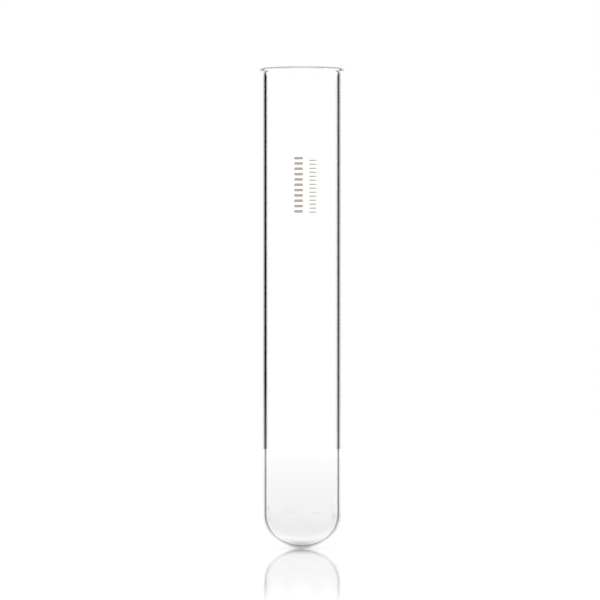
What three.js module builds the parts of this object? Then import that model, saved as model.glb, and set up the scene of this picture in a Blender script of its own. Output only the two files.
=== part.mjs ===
// Test tube: one piece of clear borosilicate glass with a round bottom and a flared, fire-polished rim,
// and two plain strips of marking fired onto the outside as thin enamel.
// Millimetres, +Z up. The origin is the lowest point of the round bottom, on the tube's axis.
// The marking is on the -Y side.

import * as THREE from "three";

// ---- Glass: driving sizes ----
const tubeOuterDiameter = 25;
const wallThickness = 1.3;
const overallLength = 150;
const bottomDepth = 10.9; // height of the round bottom, a little flatter than a half ball
const bottomThickness = 1.2; // at the centre, a little thinner than the wall where the end was blown round

// ---- Rim: driving sizes ----
const lipOverhang = 0.85; // how far the lip stands out from the straight wall
const flareAngle = THREE.MathUtils.degToRad(50); // how far the wall has turned outwards at its edge
const crestWidth = 0.4; // the flat left on top of the polished edge

// ---- Marking: driving sizes ----
const enamelThickness = 0.05;
const enamelClearance = 0.003; // between the enamel and the corners of the glass facets
const markingDrop = 28; // from the rim down to the upper end of the bold strip
const markingOffset = 1.1; // from the tube's front to the middle of the marking, round the tube
const boldLength = 17.4;
const boldWidth = 2.8; // round the tube
const fineLength = 16.5;
const fineWidth = 2.6; // round the tube
const stripGap = 1.7; // between the two strips, round the tube

// ---- How finely curves are cut ----
const aroundSegments = 64;
const bowlSteps = 12;
const flareSteps = 5;
const outerEdgeSteps = 7;
const innerEdgeSteps = 3;
const stripSteps = 4; // across each strip of the marking

// ---- Worked out ----
const outerRadius = tubeOuterDiameter / 2;
const boreRadius = outerRadius - wallThickness;
const edgeRadius = wallThickness / 2; // the polished edge is a half round on the end of the wall
const flareMidRadius = lipOverhang / (1 - Math.cos(flareAngle)); // of the bend, at mid-wall
const crestAngle = Math.asin(crestWidth / 2 / edgeRadius);
const edgeHeight = overallLength - edgeRadius * Math.cos(crestAngle);
const flareFoot = edgeHeight - flareMidRadius * Math.sin(flareAngle);
const bendCentre = outerRadius - edgeRadius + flareMidRadius; // distance of the bend's centre from the axis
const edgeCentre = bendCentre - flareMidRadius * Math.cos(flareAngle);

/** Points of an elliptical arc about (x, y), from one angle to another, both ends included. */
function arc(x, y, radiusX, radiusY, from, to, steps) {
  return Array.from({ length: steps + 1 }, (_, i) => {
    const angle = from + ((to - from) * i) / steps;
    return new THREE.Vector2(x + radiusX * Math.cos(angle), y + radiusY * Math.sin(angle));
  });
}

function roundArc(x, y, radius, from, to, steps) {
  return arc(x, y, radius, radius, from, to, steps);
}

/** The section of the glass: up the outside, over the rim, and down the bore to the middle of the bowl. */
function glassSection() {
  const quarter = Math.PI / 2;
  const outerBowl = arc(0, bottomDepth, outerRadius, bottomDepth, -quarter, 0, bowlSteps);
  const underLip = roundArc(
    bendCentre, flareFoot, flareMidRadius - edgeRadius,
    Math.PI, Math.PI - flareAngle, flareSteps,
  );
  const outerEdge = roundArc(
    edgeCentre, edgeHeight, edgeRadius,
    -flareAngle, quarter - crestAngle, outerEdgeSteps,
  );
  const innerEdge = roundArc(
    edgeCentre, edgeHeight, edgeRadius,
    quarter + crestAngle, Math.PI - flareAngle, innerEdgeSteps,
  );
  const mouth = roundArc(
    bendCentre, flareFoot, flareMidRadius + edgeRadius,
    Math.PI - flareAngle, Math.PI, flareSteps,
  );
  const innerDepth = bottomDepth - bottomThickness;
  const innerBowl = arc(0, bottomDepth, boreRadius, innerDepth, 0, -quarter, bowlSteps);
  outerBowl[0].x = 0;
  innerBowl[bowlSteps].x = 0;
  return [
    ...outerBowl,
    ...underLip,
    ...outerEdge.slice(1), // its first point ends the arc under the lip
    ...innerEdge,
    ...mouth.slice(1),
    ...innerBowl,
  ];
}

function glassTube() {
  const geometry = new THREE.LatheGeometry(glassSection(), aroundSegments);
  geometry.rotateX(Math.PI / 2); // the lathe turns about Y, and the tube stands along Z
  const material = new THREE.MeshStandardMaterial({
    color: 0xf4f8f7, roughness: 0.03, metalness: 0, transparent: true, opacity: 0.3,
  });
  const mesh = new THREE.Mesh(geometry, material);
  mesh.name = "glass_tube";
  return mesh;
}

/**
 * One strip of marking as a thin curved plate on the outside of the glass. Its edges are given as
 * distances round the tube from its front, to the right of someone who faces the marking.
 */
function enamelStrip(name, leftEdge, rightEdge, length, color) {
  const halfStep = (rightEdge - leftEdge) / outerRadius / stripSteps / 2;
  const inner = outerRadius / Math.cos(halfStep) + enamelClearance; // so its flats clear the glass too
  const outer = inner + enamelThickness;
  const front = -Math.PI / 2;
  const start = front + leftEdge / outerRadius;
  const end = front + rightEdge / outerRadius;
  const outline = [
    ...roundArc(0, 0, inner, start, end, stripSteps),
    ...roundArc(0, 0, outer, end, start, stripSteps),
  ];
  const geometry = new THREE.ExtrudeGeometry(new THREE.Shape(outline), {
    depth: length, bevelEnabled: false,
  });
  const material = new THREE.MeshStandardMaterial({ color, roughness: 0.6, metalness: 0 });
  const mesh = new THREE.Mesh(geometry, material);
  mesh.name = name;
  return mesh;
}

const boldLeft = markingOffset - (boldWidth + stripGap + fineWidth) / 2;
const boldRight = boldLeft + boldWidth;
const fineLeft = boldRight + stripGap;
const boldMarking = enamelStrip("bold_marking", boldLeft, boldRight, boldLength, 0xb3a99b);
const fineMarking = enamelStrip("fine_marking", fineLeft, fineLeft + fineWidth, fineLength, 0xbdb6ab);
const markingFoot = overallLength - markingDrop - boldLength; // both strips start at this height
boldMarking.position.z = markingFoot;
fineMarking.position.z = markingFoot;

const testTube = new THREE.Group();
testTube.name = "test_tube";
testTube.add(glassTube(), boldMarking, fineMarking);

export default testTube;
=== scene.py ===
"""A clear glass test tube with a flared rim, a round bottom and a fired-on enamel marking.

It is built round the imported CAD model: every length is in metres, +Z is up, the tube stands on the
origin and its marking faces -Y.
"""

import math

import bpy
import numpy as np
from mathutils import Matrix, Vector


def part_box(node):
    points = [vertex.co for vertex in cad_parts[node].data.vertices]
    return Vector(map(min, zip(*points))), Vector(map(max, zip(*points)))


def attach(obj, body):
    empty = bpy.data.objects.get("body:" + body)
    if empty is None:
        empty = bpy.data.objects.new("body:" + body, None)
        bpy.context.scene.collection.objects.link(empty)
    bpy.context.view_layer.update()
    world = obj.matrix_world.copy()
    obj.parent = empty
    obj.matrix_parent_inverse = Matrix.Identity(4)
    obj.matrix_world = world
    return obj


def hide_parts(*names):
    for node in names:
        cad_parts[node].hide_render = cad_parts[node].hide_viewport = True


bl_info = {
    "name": "Test Tube",
    "version": (1, 0, 0),
    "blender": (4, 5, 0),
    "location": "3D View > Sidebar > Test Tube",
    "description": "Adds a borosilicate test tube with its enamel marking, and a white stage for it",
    "category": "Add Mesh",
}

MM = 0.001
QUARTER = math.pi / 2

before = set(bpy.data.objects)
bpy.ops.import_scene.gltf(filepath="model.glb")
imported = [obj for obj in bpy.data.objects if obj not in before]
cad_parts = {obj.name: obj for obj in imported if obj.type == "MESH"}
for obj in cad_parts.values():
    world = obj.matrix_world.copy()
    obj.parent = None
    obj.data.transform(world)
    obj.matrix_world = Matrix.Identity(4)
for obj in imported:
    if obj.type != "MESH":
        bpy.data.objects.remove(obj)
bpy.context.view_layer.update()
TUBE_LOW, TUBE_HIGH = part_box("glass_tube")

# ---- How finely curves are cut ----

AROUND = 192
BOWL_POINTS = 64
WALL_POINTS = 60
FLARE_POINTS = 24
EDGE_POINTS = 32
BAR_POINTS_ACROSS = 10
BAR_POINTS_ALONG = 5
FLOOR_POINTS = 128


# ---- What a user can change ----


class TubeSettings(bpy.types.PropertyGroup):
    """Sizes and glass of the tube."""

    length: bpy.props.FloatProperty(
        name="Length",
        description="From the lowest point of the bottom to the rim",
        default=TUBE_HIGH.z - TUBE_LOW.z,
        unit="LENGTH",
    )
    diameter: bpy.props.FloatProperty(
        name="Diameter",
        description="Outside diameter of the straight wall",
        default=25 * MM,
        unit="LENGTH",
    )
    lip_diameter: bpy.props.FloatProperty(
        name="Lip Diameter",
        description="Outside diameter of the flared rim",
        default=TUBE_HIGH.x - TUBE_LOW.x,
        unit="LENGTH",
    )
    wall: bpy.props.FloatProperty(
        name="Wall",
        description="Thickness of the straight wall",
        default=1.3 * MM,
        unit="LENGTH",
    )
    bottom_depth: bpy.props.FloatProperty(
        name="Bottom Depth",
        description="Height of the round bottom, a little flatter than a half ball",
        default=10.9 * MM,
        unit="LENGTH",
    )
    bottom_thickness: bpy.props.FloatProperty(
        name="Bottom Thickness",
        description="Glass gathered at the middle of the bottom",
        default=1.2 * MM,
        unit="LENGTH",
    )
    flare_angle: bpy.props.FloatProperty(
        name="Flare Angle",
        description="How far the wall has turned outwards at the rim",
        default=math.radians(50),
        subtype="ANGLE",
    )
    lip_thickness: bpy.props.FloatProperty(
        name="Lip Thickness",
        description="Thickness of the wall where it ends in the polished rim",
        default=1.3 * MM,
        unit="LENGTH",
    )
    # Painted shade: how far down from the top of the lip the dark line painted along the rim reaches
    painted_rim_height: bpy.props.FloatProperty(
        name="Rim Shade Height",
        description="How far down from the top of the lip the polishing flame left its mark",
        default=0.95 * MM,
        unit="LENGTH",
    )
    flame_marks: bpy.props.FloatProperty(
        name="Flame Marks",
        description="Unevenness left inside the bottom where it was closed in the flame",
        default=0.16 * MM,
        unit="LENGTH",
    )
    draw_marks: bpy.props.FloatProperty(
        name="Draw Marks",
        description="Unevenness of the bore along the drawn wall",
        default=0.006 * MM,
        unit="LENGTH",
    )
    tint: bpy.props.FloatVectorProperty(
        name="Glass Colour",
        description="What a thick piece of the glass lets through",
        default=(0.94, 0.95, 0.945),
        subtype="COLOR",
        min=0.0,
        max=1.0,
    )
    # Painted shade: how much of its colour the glass keeps in the dark line painted down each side, where
    # the wall is seen along its thickness
    edge_line_shade: bpy.props.FloatProperty(
        name="Edge Tone",
        description="How much light the wall passes where it is seen along its thickness",
        default=0.05,
        min=0.0,
        max=1.0,
        subtype="FACTOR",
    )


class MarkingSettings(bpy.types.PropertyGroup):
    """Sizes and colours of the two printed lines."""

    thickness: bpy.props.FloatProperty(
        name="Enamel Thickness",
        description="How far the fired enamel stands off the glass",
        default=0.03 * MM,
        unit="LENGTH",
    )
    bold_bars: bpy.props.IntProperty(
        name="Bold Bars", description="Bars in the bold line", default=11, min=1
    )
    fine_bars: bpy.props.IntProperty(
        name="Fine Bars", description="Bars in the fine line", default=14, min=1
    )
    bold_fill: bpy.props.FloatProperty(
        name="Bold Fill",
        description="How much of its share of the bold line a bar covers",
        default=0.55,
        min=0.0,
        max=1.0,
        subtype="FACTOR",
    )
    fine_fill: bpy.props.FloatProperty(
        name="Fine Fill",
        description="How much of its share of the fine line a bar covers",
        default=0.35,
        min=0.0,
        max=1.0,
        subtype="FACTOR",
    )
    bar_corner: bpy.props.FloatProperty(
        name="Bar Corner",
        description="Radius of a bar's corners",
        default=0.18 * MM,
        unit="LENGTH",
    )
    clearance: bpy.props.FloatProperty(
        name="Clearance",
        description="Between the glass and the underside of the enamel",
        default=0.002 * MM,
        unit="LENGTH",
    )
    bold_colour: bpy.props.FloatVectorProperty(
        name="Bold Colour",
        description="Enamel colour of the bold line",
        default=(0.47, 0.42, 0.35),
        subtype="COLOR",
        min=0.0,
        max=1.0,
    )
    fine_colour: bpy.props.FloatVectorProperty(
        name="Fine Colour",
        description="Enamel colour of the fine line",
        default=(0.52, 0.47, 0.41),
        subtype="COLOR",
        min=0.0,
        max=1.0,
    )


class StageSettings(bpy.types.PropertyGroup):
    """Camera and light of the stage."""

    camera_distance: bpy.props.FloatProperty(
        name="Camera Distance",
        description="From the tube's axis to the camera",
        default=1.34,
        unit="LENGTH",
    )
    view_width: bpy.props.FloatProperty(
        name="View Width",
        description="Width of what the camera sees at the tube",
        default=187.6 * MM,
        unit="LENGTH",
    )
    eye_height: bpy.props.FloatProperty(
        name="Eye Height",
        description="Height of the camera above the floor",
        default=77.6 * MM,
        unit="LENGTH",
    )
    eye_offset: bpy.props.FloatProperty(
        name="Eye Offset",
        description="How far the camera stands to the left of the tube's axis",
        default=0.6 * MM,
        unit="LENGTH",
    )
    backdrop_light: bpy.props.FloatProperty(
        name="Backdrop Light",
        description="Brightness of the white surroundings",
        default=1.1,
        min=0.0,
    )
    through_light: bpy.props.FloatProperty(
        name="Through Light",
        description="Brightness of the white surroundings behind the glass",
        default=1.3,
        min=0.0,
    )
    gap_light: bpy.props.FloatVectorProperty(
        name="Gap Light",
        description="Brightness of the dark gaps between the backdrops on the left and on the right",
        default=(0.0, 0.03),
        size=2,
        min=0.0,
    )
    gap_height: bpy.props.FloatProperty(
        name="Gap Height",
        description="How far above and below the horizon the dark gaps reach",
        default=math.radians(7),
        subtype="ANGLE",
    )
    gloss_start: bpy.props.FloatProperty(
        name="Gloss Start",
        description="How far from the tube's axis the floor's gloss starts to fade",
        default=105 * MM,
        unit="LENGTH",
    )
    gloss_end: bpy.props.FloatProperty(
        name="Gloss End",
        description="How far from the tube's axis the floor is matt",
        default=262 * MM,
        unit="LENGTH",
    )
    floor_radius: bpy.props.FloatProperty(
        name="Floor Radius", description="Radius of the white floor", default=0.9, unit="LENGTH"
    )


# ---- Shapes ----


def arc(centre_x, centre_y, radius_x, radius_y, start, end, count):
    """Points of an elliptical arc: the centre plus each radius times the cosine or sine of an angle
    that runs evenly from start to end."""
    angle = np.linspace(start, end, count)
    return np.column_stack(
        (centre_x + radius_x * np.cos(angle), centre_y + radius_y * np.sin(angle))
    )


def eased(x):
    """0 below 0, 1 above 1, and the cubic 3 x^2 - 2 x^3 between."""
    x = np.clip(x, 0, 1)
    return x * x * (3 - 2 * x)


def tube_section(tube):
    """The half section of the glass as (distance from the axis, height), from the middle of the bottom
    up the outside, over the rim and down the bore to the middle of the bowl. The bottom is a quarter
    ellipse inside and out. The flare's middle line is an arc that turns by the flare angle, with half
    the wall on each side of it, easing to half the lip's thickness, and a half round on its end.
    The second array is 1 on the outside and 0 in the bore."""
    outside = tube.diameter / 2
    bore = outside - tube.wall
    edge = tube.lip_thickness / 2
    overhang = (tube.lip_diameter - tube.diameter) / 2
    bend = (overhang + tube.wall / 2 - edge) / (1 - math.cos(tube.flare_angle))
    bend_centre = outside - tube.wall / 2 + bend
    edge_centre = bend_centre - bend * math.cos(tube.flare_angle)
    edge_height = tube.length - edge
    flare_foot = edge_height - bend * math.sin(tube.flare_angle)
    turned = np.linspace(0, tube.flare_angle, FLARE_POINTS)
    half = tube.wall / 2 + (edge - tube.wall / 2) * eased(turned / tube.flare_angle)
    middle = np.column_stack(
        (bend_centre - bend * np.cos(turned), flare_foot + bend * np.sin(turned))
    )
    outwards = half[:, None] * np.column_stack((np.cos(turned), -np.sin(turned)))
    end_round = arc(
        edge_centre, edge_height, edge, edge, -tube.flare_angle, math.pi - tube.flare_angle, EDGE_POINTS
    )
    end_middle = EDGE_POINTS // 2 + 1
    wall_heights = np.linspace(tube.bottom_depth, flare_foot, WALL_POINTS + 2)[1:-1]
    inner_depth = tube.bottom_depth - tube.bottom_thickness
    outer = (
        arc(0, tube.bottom_depth, outside, tube.bottom_depth, -QUARTER, 0, BOWL_POINTS),
        np.column_stack((np.full(WALL_POINTS, outside), wall_heights)),
        middle + outwards,
        end_round[1:end_middle],
    )
    inner = (
        end_round[end_middle:-1],
        (middle - outwards)[::-1],
        np.column_stack((np.full(WALL_POINTS, bore), wall_heights[::-1])),
        arc(0, tube.bottom_depth, bore, inner_depth, 0, -QUARTER, BOWL_POINTS),
    )
    section = np.vstack(outer + inner)
    outer_count = sum(len(part) for part in outer)
    skin = (np.arange(len(section)) < outer_count).astype(float)
    section[[0, -1], 0] = 0
    return section, skin


def revolved(section, around):
    """Grid of points from turning the section about the Z axis: x and y are the distance from the axis
    times the cosine and sine of the angle round, and z is the height."""
    angle = np.linspace(0, 2 * math.pi, around, endpoint=False)
    distance = section[:, :1]
    return np.stack(
        (
            distance * np.cos(angle),
            distance * np.sin(angle),
            np.repeat(section[:, 1:], around, axis=1),
        ),
        axis=-1,
    )


# Waves that the flame left in the bowl: times round, change with height, start, and strength
FLAME_WAVES = (
    (2, 0.9, 0.4, 0.5),
    (3, -1.7, 2.1, 0.4),
    (5, 2.6, 4.0, 0.3),
    (0, 2.9, 1.0 - QUARTER, 0.25),
)
WAVE_HEIGHT = 5 * MM
FLAME_TOP = 1.6  # how high the flame's marks reach, in depths of the bowl
FLAME_EASE = 1.2
CALM_MIDDLE = 2.5 * MM  # the waves fade out towards the axis
CALM_RIM = 6 * MM  # and the draw marks towards the rim
DRAWN_TWIST = 40 * MM


def worked_unevenly(grid, skin, tube):
    """Moves the bore's points in or out: a sum of cosines that go up to five times round and change
    with height, strong in the bowl, where the flame left them, and faint ones along the drawn wall."""
    x, y, z = grid[..., 0], grid[..., 1], grid[..., 2]
    distance = np.hypot(x, y)
    angle = np.arctan2(y, x)
    waves = sum(
        strength * np.cos(times * angle + change * z / WAVE_HEIGHT + start)
        for times, change, start, strength in FLAME_WAVES
    )
    bowl = eased((FLAME_TOP - z / tube.bottom_depth) / FLAME_EASE)
    flame = tube.flame_marks * waves * bowl * eased(distance / CALM_MIDDLE)
    drawn = np.cos(3 * angle + 0.3) + 0.6 * np.cos(7 * angle + z / DRAWN_TWIST)
    shift = flame + tube.draw_marks * drawn * eased((tube.length - z) / CALM_RIM)
    bore = 1 - skin[:, None]
    scale = 1 - bore * shift / np.maximum(distance, tube.wall)
    grid[..., 0] *= scale
    grid[..., 1] *= scale
    grid[..., 2] -= bore * flame / 2
    return grid


def painted_rim_line(points, tube):
    """How strongly the painted shade line along the rim darkens each point of it: 1 at the top of the
    lip, easing to 0 down its outside and over its inner half, and a little weaker at four places round."""
    angle = np.arctan2(points[:, 1], points[:, 0])
    inwards = (tube.lip_diameter / 2 - np.hypot(points[:, 0], points[:, 1])) / tube.lip_thickness
    height = eased(1 - (tube.length - points[:, 2]) / tube.painted_rim_height)
    four_places = 0.9 - 0.1 * np.cos(4 * angle)
    return height * eased(2 - 4.5 * inwards) * four_places


BOWL_EASE = 8 * MM
WALL_EASE = 2 * MM
FLARE_HEIGHT = 3 * MM
LIP_EDGE = 0.3 * MM
SKIN_IN_BOWL = 0.75  # of what it is on the wall
# how dark the painted shade along the lip's outermost edge gets
LIP_OUTLINE_SHADE = 0.8


def glass_zones(points, on_skin, tube):
    """What the glass material reads at each point, from 0 to 1: the outside skin, which carries the
    painted dark side lines, weaker in the bowl; the bowl, where the wall gets thinner; the straight wall;
    the outermost edge of the lip, which gets painted shade; and the painted shade line on top of the lip.
    Each eases in over a few tenths or a few millimetres."""
    height = points[:, 2]
    distance = np.hypot(points[:, 0], points[:, 1])
    bowl = eased((tube.bottom_depth - height) / BOWL_EASE)
    above_bowl = eased(1 + (height - tube.bottom_depth) / WALL_EASE)
    below_flare = eased((tube.length - FLARE_HEIGHT - height) / WALL_EASE)
    lip = eased(1 + (distance - tube.lip_diameter / 2) / LIP_EDGE)
    return {
        "skin": on_skin * (1 + (SKIN_IN_BOWL - 1) * bowl),
        "bowl": bowl,
        "wall": above_bowl * below_flare,
        "lip": LIP_OUTLINE_SHADE * lip,
        "painted_rim_shade": painted_rim_line(points, tube),
    }


def closed_revolution(grid):
    """Points and faces of a body of revolution whose first and last rows are on the axis. Rows are
    joined by quads, and each end by a fan about its own single point."""
    rows, around = grid.shape[:2]
    points = np.vstack((grid[0, :1], grid[1:-1].reshape(-1, 3), grid[-1, :1]))
    ring = np.arange(around)
    after = np.roll(ring, -1)
    starts = 1 + np.arange(rows - 3)[:, None] * around
    quads = np.stack(
        (starts + ring, starts + after, starts + around + after, starts + around + ring), axis=-1
    ).reshape(-1, 4)
    last_row = 1 + (rows - 3) * around
    last_point = len(points) - 1
    first_fan = np.column_stack((np.zeros(around, int), 1 + after, 1 + ring))
    last_fan = np.column_stack((last_row + ring, last_row + after, np.full(around, last_point)))
    return points, quads.tolist() + first_fan.tolist() + last_fan.tolist()


def curved_slabs(low, high, count, fill, radius, marking):
    """Points and faces of a row of bars of enamel lying on the tube. Each bar is a closed slab: two
    grids, on the glass and on top of the enamel, whose points are the radius times the cosine and
    sine of an angle, joined round their edges. The corners are rounded by pulling the bar's ends in
    as a half ellipse towards its sides."""
    start = math.atan2(low[1], low[0])
    end = math.atan2(high[1], high[0])
    pitch = (high[2] - low[2]) / (count - 1 + fill)
    across = np.linspace(-1, 1, BAR_POINTS_ACROSS)
    along = np.linspace(-1, 1, BAR_POINTS_ALONG)
    half = pitch * fill / 2
    corner = min(half, marking.bar_corner)
    half_angle = (end - start) / 2
    side_room = (1 - np.abs(across)) * half_angle * radius
    pulled = corner - np.sqrt(np.maximum(corner**2 - np.maximum(corner - side_room, 0) ** 2, 0))
    angle = (start + end) / 2 + across * half_angle
    middles = low[2] + half + pitch * np.arange(count)
    bar_height = along[None, :] * (half - pulled[:, None])
    layers = []
    for distance in (radius, radius + marking.thickness):
        x = np.broadcast_to(distance * np.cos(angle)[:, None], bar_height.shape)
        y = np.broadcast_to(distance * np.sin(angle)[:, None], bar_height.shape)
        layers.append(np.stack((x, y, bar_height), axis=-1))
    bar = np.stack(layers).reshape(-1, 3)
    points = bar[None] + middles[:, None, None] * np.array([0, 0, 1])
    faces = slab_faces(BAR_POINTS_ACROSS, BAR_POINTS_ALONG)
    all_faces = faces[None] + (np.arange(count) * len(bar))[:, None, None]
    return points.reshape(-1, 3), all_faces.reshape(-1, 4).tolist()


def slab_faces(rows, columns):
    """Quads of a slab made of two grids of rows by columns points: the lower grid facing down, the
    upper one facing up, and a strip between their borders."""
    index = np.arange(rows * columns).reshape(rows, columns)
    cells = np.stack(
        (index[:-1, :-1], index[1:, :-1], index[1:, 1:], index[:-1, 1:]), axis=-1
    ).reshape(-1, 4)
    border = np.concatenate(
        (index[:-1, 0], index[-1, :-1], index[:0:-1, -1], index[0, :0:-1])
    )
    after = np.roll(border, -1)
    top = rows * columns
    sides = np.stack((border, after, after + top, border + top), axis=-1)
    return np.vstack((cells[:, ::-1], cells + top, sides))


def new_piece(name, points, faces, material):
    """A mesh object of the points and faces, smooth, with its place in its mesh."""
    mesh = bpy.data.meshes.new(name)
    mesh.from_pydata(points.tolist(), [], faces)
    mesh.validate()
    mesh.shade_smooth()
    mesh.materials.append(material)
    piece = bpy.data.objects.new(name, mesh)
    bpy.context.scene.collection.objects.link(piece)
    return piece


# ---- Nodes ----


def fill(tree, socket, value):
    """Sets a socket to a number or a colour, or links another node's output into it."""
    if isinstance(value, bpy.types.NodeSocket):
        tree.links.new(value, socket)
    else:
        socket.default_value = value


def math_node(tree, operation, *values):
    """The result of a Math node."""
    node = tree.nodes.new("ShaderNodeMath")
    node.operation = operation
    for socket, value in zip(node.inputs, values):
        fill(tree, socket, value)
    return node.outputs[0]


def spread(tree, value, start, end, low=0.0, high=1.0):
    """The value's run from start to end, spread evenly from low to high and held there outside it."""
    node = tree.nodes.new("ShaderNodeMapRange")
    fill(tree, node.inputs["Value"], value)
    fill(tree, node.inputs["From Min"], start)
    fill(tree, node.inputs["From Max"], end)
    fill(tree, node.inputs["To Min"], low)
    fill(tree, node.inputs["To Max"], high)
    return node.outputs["Result"]


def smooth_step(tree, value, start, end):
    """0 at the start, 1 at the end, and a smooth curve between."""
    result = spread(tree, value, start, end)
    result.node.interpolation_type = "SMOOTHSTEP"
    return result


def blended(tree, factor, first, second):
    """The first number where the factor is 0, and the second where it is 1."""
    return spread(tree, factor, 0.0, 1.0, first, second)


def mixed(tree, factor, first, second):
    """The first colour where the factor is 0, and the second where it is 1."""
    node = tree.nodes.new("ShaderNodeMix")
    node.data_type = "RGBA"
    fill(tree, node.inputs["Factor"], factor)
    fill(tree, node.inputs["A"], first)
    fill(tree, node.inputs["B"], second)
    return node.outputs["Result"]


def grey_ramp(tree, value, stops):
    """A grey that follows the value: each stop is a value from 0 to 1, and the grey there."""
    node = tree.nodes.new("ShaderNodeValToRGB")
    elements = node.color_ramp.elements
    for i, (position, level) in enumerate(stops):
        stop = elements[i] if i < 2 else elements.new(position)
        stop.position = position
        stop.color = grey(level)
    tree.links.new(value, node.inputs["Fac"])
    return node.outputs["Color"]


def grey(level):
    """An opaque grey."""
    return (level, level, level, 1.0)


def zone(tree, name):
    """One of the values of glass_zones, stored on the mesh."""
    node = tree.nodes.new("ShaderNodeAttribute")
    node.attribute_name = name
    return node.outputs["Fac"]


def facing(tree):
    """The Layer Weight node that says how far a surface is turned away: 0 square on, 1 edge on."""
    node = tree.nodes.new("ShaderNodeLayerWeight")
    node.inputs["Blend"].default_value = 0.5
    return node


def bump(tree, shader, height, strength):
    """Fine relief on the shader's surface."""
    node = tree.nodes.new("ShaderNodeBump")
    node.inputs["Strength"].default_value = strength
    node.inputs["Distance"].default_value = 0.02 * MM
    tree.links.new(height, node.inputs["Height"])
    tree.links.new(node.outputs["Normal"], shader.inputs["Normal"])


def noise_field(tree, stretch, scale, detail=3.0):
    """A noise texture on Object coordinates in metres, stretched by a factor along each axis."""
    place = tree.nodes.new("ShaderNodeTexCoord")
    mapping = tree.nodes.new("ShaderNodeMapping")
    mapping.inputs["Scale"].default_value = stretch
    noise = tree.nodes.new("ShaderNodeTexNoise")
    noise.inputs["Scale"].default_value = scale
    noise.inputs["Detail"].default_value = detail
    tree.links.new(place.outputs["Object"], mapping.inputs["Vector"])
    tree.links.new(mapping.outputs["Vector"], noise.inputs["Vector"])
    return noise.outputs["Fac"]


# ---- Materials ----


GLASS_IOR = 1.473
GLASS_HAZE = 0.005
GLASS_DENSITY = 60.0
GLASS_RELIEF = 0.01
BOWL_SHIFT = -0.08  # the painted dark line of the wall lies nearer the outline where the bowl is thin
LIP_SLIVER = (0.3, 0.8)  # how far the lip's edge is turned away where its painted shade starts, and where it is full
# near-black of the painted shade along the top and the edge of the lip
RIM_SHADE_COLOUR = (0.01, 0.009, 0.008, 1.0)
PIPED_TURNS = 3.5  # mirrored turns past which light counts as piped
# colour of the painted glow that stands in for light piped along the wall
PIPED_PAINTED_GLOW = (0.62, 0.6, 0.57, 1.0)


def new_material(name):
    """A material with an empty node tree: the tree, its Principled shader and its output."""
    material = bpy.data.materials.new(name)
    material.use_nodes = True
    tree = material.node_tree
    tree.nodes.clear()
    shader = tree.nodes.new("ShaderNodeBsdfPrincipled")
    output = tree.nodes.new("ShaderNodeOutputMaterial")
    tree.links.new(shader.outputs["BSDF"], output.inputs["Surface"])
    return material, tree, shader, output


def turned_away(tree):
    """How far the glass is turned away, from 0 to 1. On the straight wall it is 1 minus the cosine of
    the angle round the tube, whether the tube is seen from level or from above."""
    straight_on = facing(tree)
    surface = tree.nodes.new("ShaderNodeNewGeometry")
    crossed = tree.nodes.new("ShaderNodeVectorMath")
    crossed.operation = "CROSS_PRODUCT"
    crossed.inputs[1].default_value = (0.0, 0.0, 1.0)
    tree.links.new(surface.outputs["Normal"], crossed.inputs[0])
    round_tube = tree.nodes.new("ShaderNodeVectorMath")
    round_tube.operation = "NORMALIZE"
    tree.links.new(crossed.outputs["Vector"], round_tube.inputs[0])
    sideways = facing(tree)
    tree.links.new(round_tube.outputs["Vector"], sideways.inputs["Normal"])
    along_normal = math_node(tree, "SUBTRACT", 1.0, straight_on.outputs["Facing"])
    along_side = math_node(tree, "SUBTRACT", 1.0, sideways.outputs["Facing"])
    angle = math_node(tree, "ARCTAN2", along_side, along_normal)
    level = math_node(tree, "SUBTRACT", 1.0, math_node(tree, "COSINE", angle))
    return blended(tree, zone(tree, "wall"), straight_on.outputs["Facing"], level)


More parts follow.
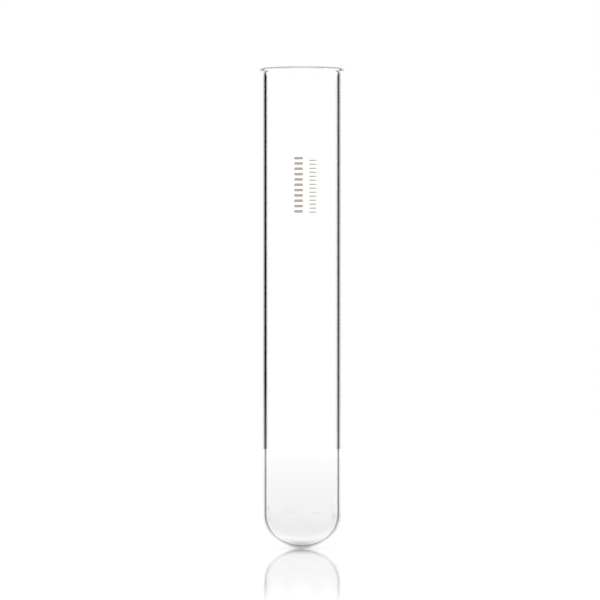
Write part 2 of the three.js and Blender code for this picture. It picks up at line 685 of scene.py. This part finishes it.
def borosilicate(tube):
    """Clear drawn glass: a faint grey-green in its depth, fine draw lines along the wall, a trace of
    haze, a painted dark line down each side where the outside is seen along the wall's thickness,
    painted shade along the top and the edge of the lip, and a painted glow where light is piped."""
    material, tree, shader, output = new_material("clear borosilicate")
    shader.inputs["Transmission Weight"].default_value = 1.0
    shader.inputs["IOR"].default_value = GLASS_IOR
    edge = tube.edge_line_shade
    # Painted shade: the outside skin's colour turns dark in a narrow band of how far it is turned away,
    # which draws a dark line down each side of the tube
    edge_shade_ramp = ((0.0, 1.0), (0.525, 1.0), (0.55, edge), (0.62, edge), (0.68, 0.97), (1.0, 1.0))
    turned = math_node(tree, "MULTIPLY_ADD", zone(tree, "bowl"), BOWL_SHIFT, turned_away(tree))
    tone = mixed(tree, zone(tree, "skin"), grey(1.0), grey_ramp(tree, turned, edge_shade_ramp))
    # Painted shade: a near-black line along the top of the lip and along its outermost edge where it is
    # turned away
    sliver = spread(tree, facing(tree).outputs["Facing"], *LIP_SLIVER)
    painted_lip_outline = math_node(tree, "MULTIPLY", zone(tree, "lip"), sliver)
    painted_rim_shade = math_node(tree, "MAXIMUM", zone(tree, "painted_rim_shade"), painted_lip_outline)
    tone_with_rim_shade = mixed(tree, painted_rim_shade, tone, RIM_SHADE_COLOUR)
    # Light that has turned back inside the wall four times isn't followed further: the glass turns black
    # there and glows with a painted glow that stands in for the light piped along the wall
    path = tree.nodes.new("ShaderNodeLightPath")
    piped = math_node(tree, "GREATER_THAN", path.outputs["Glossy Depth"], PIPED_TURNS)
    tree.links.new(mixed(tree, piped, tone_with_rim_shade, grey(0.0)), shader.inputs["Base Color"])
    tree.links.new(piped, shader.inputs["Emission Strength"])
    shader.inputs["Emission Color"].default_value = PIPED_PAINTED_GLOW
    material.cycles.emission_sampling = "NONE"
    haze = noise_field(tree, (1, 1, 0.4), 90)
    tree.links.new(blended(tree, haze, 0.0, GLASS_HAZE), shader.inputs["Roughness"])
    bump(tree, shader, noise_field(tree, (1, 1, 0.02), 900), GLASS_RELIEF)
    depth = tree.nodes.new("ShaderNodeVolumeAbsorption")
    depth.inputs["Color"].default_value = (*tube.tint, 1.0)
    depth.inputs["Density"].default_value = GLASS_DENSITY
    tree.links.new(depth.outputs["Volume"], output.inputs["Volume"])
    return material


def fired_enamel(name, colour):
    """Matt vitreous enamel: its tone is mottled where the print is thinner, and its surface is
    slightly grainy."""
    material, tree, shader, _ = new_material(name)
    mottle = noise_field(tree, (1, 1, 1), 2600, 4.0)
    thick = (*(c * 0.82 for c in colour), 1.0)
    thin = (*(min(1.0, c * 1.22) for c in colour), 1.0)
    tree.links.new(mixed(tree, mottle, thick, thin), shader.inputs["Base Color"])
    tree.links.new(blended(tree, mottle, 0.45, 0.7), shader.inputs["Roughness"])
    bump(tree, shader, noise_field(tree, (1, 1, 1), 9000), 0.3)
    return material


FLOOR_WHITE = 0.97
FLOOR_ROUGHNESS = 0.06
# Painted shade on the floor as the glass gathers it, grey near the tube and paler further out: share of
# the floor's radius, and grey
FLOOR_SHADE_GREYS = (
    (0.0, 0.95), (0.06, 0.8), (0.12, 0.79), (0.27, 0.83), (0.56, 0.86), (0.82, 0.9), (1.0, 0.98)
)
# Painted glow of the floor round the tube's foot, standing in for the light it gets through the glass:
# share of its reach, and strength
CONTACT_REACH = 30 * MM
CONTACT_PAINTED_GLOW = ((0.0, 0.06), (0.08, 0.12), (0.15, 0.3), (0.3, 0.36), (0.5, 0.15), (0.8, 0.0))


def gloss_white(stage):
    """White sheet for the floor, glossy round the tube and matt further out. Seen through the glass
    it has painted shade, a little grey near the tube and paler further away, and a painted glow round
    the tube's foot."""
    material, tree, shader, output = new_material("gloss white sheet")
    place = tree.nodes.new("ShaderNodeTexCoord")
    length = tree.nodes.new("ShaderNodeVectorMath")
    length.operation = "LENGTH"
    tree.links.new(place.outputs["Object"], length.inputs[0])
    distance = length.outputs["Value"]
    rays = tree.nodes.new("ShaderNodeLightPath")
    seen = rays.outputs["Is Camera Ray"]
    gathered = grey_ramp(tree, spread(tree, distance, 0.0, stage.floor_radius), FLOOR_SHADE_GREYS)
    colour = mixed(tree, seen, gathered, grey(FLOOR_WHITE))
    tree.links.new(colour, shader.inputs["Base Color"])
    shader.inputs["Roughness"].default_value = FLOOR_ROUGHNESS
    matt = tree.nodes.new("ShaderNodeBsdfPrincipled")
    matt.inputs["Specular IOR Level"].default_value = 0.0
    matt.inputs["Emission Color"].default_value = grey(1.0)
    tree.links.new(colour, matt.inputs["Base Color"])
    # Painted glow round the tube's foot
    painted_glow = grey_ramp(tree, spread(tree, distance, 0.0, CONTACT_REACH), CONTACT_PAINTED_GLOW)
    tree.links.new(painted_glow, matt.inputs["Emission Strength"])
    fade = spread(tree, distance, stage.gloss_start, stage.gloss_end)
    finish = tree.nodes.new("ShaderNodeMixShader")
    tree.links.new(blended(tree, seen, 1.0, fade), finish.inputs["Fac"])
    tree.links.new(shader.outputs["BSDF"], finish.inputs[1])
    tree.links.new(matt.outputs["BSDF"], finish.inputs[2])
    tree.links.new(finish.outputs["Shader"], output.inputs["Surface"])
    return material


# ---- Operators ----


class TESTTUBE_OT_glass(bpy.types.Operator):
    """Add the glass: flared rim, straight wall and round bottom in one skin"""

    bl_idname = "test_tube.glass"
    bl_label = "Add Glass"

    def execute(self, context):
        tube = context.scene.test_tube_glass
        section, skin = tube_section(tube)
        grid = worked_unevenly(revolved(section, AROUND), skin, tube)
        points, faces = closed_revolution(grid)
        piece = new_piece("tube_glass", points, faces, borosilicate(tube))
        on_skin = np.concatenate((skin[:1], np.repeat(skin[1:-1], AROUND), skin[-1:]))
        for name, values in glass_zones(points, on_skin, tube).items():
            attribute = piece.data.attributes.new(name, "FLOAT", "POINT")
            attribute.data.foreach_set("value", values.astype(np.float32))
        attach(piece, "root")
        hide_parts("glass_tube")
        return {"FINISHED"}


class TESTTUBE_OT_marking(bpy.types.Operator):
    """Add the two printed lines of enamel"""

    bl_idname = "test_tube.marking"
    bl_label = "Add Marking"

    def execute(self, context):
        marking = context.scene.test_tube_marking
        radius = context.scene.test_tube_glass.diameter / 2
        lines = (
            ("bold", marking.bold_bars, marking.bold_fill, marking.bold_colour),
            ("fine", marking.fine_bars, marking.fine_fill, marking.fine_colour),
        )
        for weight, bars, share, colour in lines:
            name = f"{weight}_print"
            node = f"{weight}_marking"
            slot = f"{weight}_enamel"
            edges = strip_edges(*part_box(node), radius)
            points, faces = curved_slabs(*edges, bars, share, radius + marking.clearance, marking)
            piece = new_piece(name, points, faces, fired_enamel(slot.replace("_", " "), colour))
            piece.data.shade_flat()
            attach(piece, "root")
            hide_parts(node)
        return {"FINISHED"}


def strip_edges(low, high, radius):
    """The two long edges of a strip of marking, from the sides and heights of its CAD box."""
    front = [(x, -math.sqrt(radius**2 - x**2)) for x in (low.x, high.x)]
    return (*front[0], low.z), (*front[1], high.z)


class TESTTUBE_OT_stage(bpy.types.Operator):
    """Add the white floor, the surroundings and the camera"""

    bl_idname = "test_tube.stage"
    bl_label = "Add Stage"

    def execute(self, context):
        stage = context.scene.test_tube_stage
        angle = np.linspace(0, 2 * math.pi, FLOOR_POINTS, endpoint=False)
        rim = stage.floor_radius * np.column_stack((np.cos(angle), np.sin(angle), 0 * angle))
        floor = new_piece("floor", rim, [list(range(FLOOR_POINTS))], gloss_white(stage))
        surroundings(context.scene, stage)
        add_camera(context.scene, stage)
        return {"FINISHED"}


# Where a dark gap begins and is full, round from the middle of a backdrop, and where the right one ends
LEFT_GAP = (math.radians(23), math.radians(33))
RIGHT_GAP = (math.radians(26), math.radians(31))
RIGHT_GAP_END = (math.radians(45), math.radians(40))
BELOW_HORIZON = (-0.034, -0.018)  # sines of the heights between which mirrored gaps fade in
HIGH_UP = (0.12, 0.2)  # sines of the heights above which the light behind the glass is plain white
MIRRORED_GAP = 0.5  # share of a gap that a mirrored ray still meets low down
MIRRORED_LIGHT = 0.85


def surroundings(scene, stage):
    """White surroundings. To the camera they are even. What the glass gathers from them has four
    dark gaps between four broad backdrops, which draw the dark lines down the tube's sides."""
    world = bpy.data.worlds.new("white surroundings")
    scene.world = world
    world.use_nodes = True
    tree = world.node_tree
    tree.nodes.clear()
    direction = tree.nodes.new("ShaderNodeTexCoord")
    parts = tree.nodes.new("ShaderNodeSeparateXYZ")
    tree.links.new(direction.outputs["Generated"], parts.inputs[0])
    x, y, z = parts.outputs
    steepness = math_node(tree, "ABSOLUTE", z)
    rays = tree.nodes.new("ShaderNodeLightPath")
    through_glass = rays.outputs["Is Transmission Ray"]
    right_side = math_node(tree, "GREATER_THAN", x, 0.0)
    # Within a quarter turn: 0 in the middle of a backdrop, and an eighth of a turn in the middle of a gap
    off_middle = math_node(tree, "PINGPONG", math_node(tree, "ARCTAN2", x, y), math.pi / 4)
    left_gap = smooth_step(tree, off_middle, *LEFT_GAP)
    right_start = smooth_step(tree, off_middle, *RIGHT_GAP)
    right_end = smooth_step(tree, off_middle, *RIGHT_GAP_END)
    right_gap = math_node(tree, "MULTIPLY", right_start, right_end)
    gap = blended(tree, right_side, left_gap, right_gap)
    top = math.sin(stage.gap_height)
    gap = math_node(tree, "MULTIPLY", gap, smooth_step(tree, steepness, top * 1.3, top * 0.8))
    low_share = blended(tree, smooth_step(tree, z, *BELOW_HORIZON), MIRRORED_GAP, 1.0)
    gap = math_node(tree, "MULTIPLY", gap, blended(tree, through_glass, low_share, 1.0))
    behind = blended(tree, smooth_step(tree, steepness, *HIGH_UP), stage.through_light, 1.0)
    mirrored = math_node(tree, "GREATER_THAN", rays.outputs["Glossy Depth"], 0.5)
    behind = blended(tree, mirrored, behind, MIRRORED_LIGHT)
    bright = blended(tree, through_glass, stage.backdrop_light, behind)
    dark = blended(tree, right_side, *stage.gap_light)
    gathered = blended(tree, gap, bright, dark)
    background = tree.nodes.new("ShaderNodeBackground")
    background.inputs["Color"].default_value = grey(1.0)
    level = blended(tree, rays.outputs["Is Camera Ray"], gathered, 1.0)
    tree.links.new(level, background.inputs["Strength"])
    output = tree.nodes.new("ShaderNodeOutputWorld")
    tree.links.new(background.outputs[0], output.inputs["Surface"])
    scene.view_settings.view_transform = "Standard"


def add_camera(scene, stage):
    """A level camera in front of the tube."""
    data = bpy.data.cameras.new("camera")
    data.lens = data.sensor_width * stage.camera_distance / stage.view_width
    data.clip_end = 20.0
    camera = bpy.data.objects.new("camera", data)
    camera.location = (-stage.eye_offset, -stage.camera_distance, stage.eye_height)
    camera.rotation_euler = (QUARTER, 0, 0)
    scene.collection.objects.link(camera)
    scene.camera = camera


class TESTTUBE_PT_panel(bpy.types.Panel):
    """Sizes, colours and buttons of the test tube"""

    bl_label = "Test Tube"
    bl_space_type = "VIEW_3D"
    bl_region_type = "UI"
    bl_category = "Test Tube"

    def draw(self, context):
        groups = (
            (context.scene.test_tube_glass, TESTTUBE_OT_glass),
            (context.scene.test_tube_marking, TESTTUBE_OT_marking),
            (context.scene.test_tube_stage, TESTTUBE_OT_stage),
        )
        for settings, operator in groups:
            box = self.layout.box()
            for name in settings.__annotations__:
                box.prop(settings, name)
            box.operator(operator.bl_idname)


CLASSES = (
    TubeSettings,
    MarkingSettings,
    StageSettings,
    TESTTUBE_OT_glass,
    TESTTUBE_OT_marking,
    TESTTUBE_OT_stage,
    TESTTUBE_PT_panel,
)


def register():
    for cls in CLASSES:
        bpy.utils.register_class(cls)
    bpy.types.Scene.test_tube_glass = bpy.props.PointerProperty(type=TubeSettings)
    bpy.types.Scene.test_tube_marking = bpy.props.PointerProperty(type=MarkingSettings)
    bpy.types.Scene.test_tube_stage = bpy.props.PointerProperty(type=StageSettings)


def unregister():
    del bpy.types.Scene.test_tube_stage
    del bpy.types.Scene.test_tube_marking
    del bpy.types.Scene.test_tube_glass
    for cls in reversed(CLASSES):
        bpy.utils.unregister_class(cls)


def main():
    register()
    bpy.ops.test_tube.glass()
    bpy.ops.test_tube.marking()
    bpy.ops.test_tube.stage()


if __name__ == "__main__":
    main()
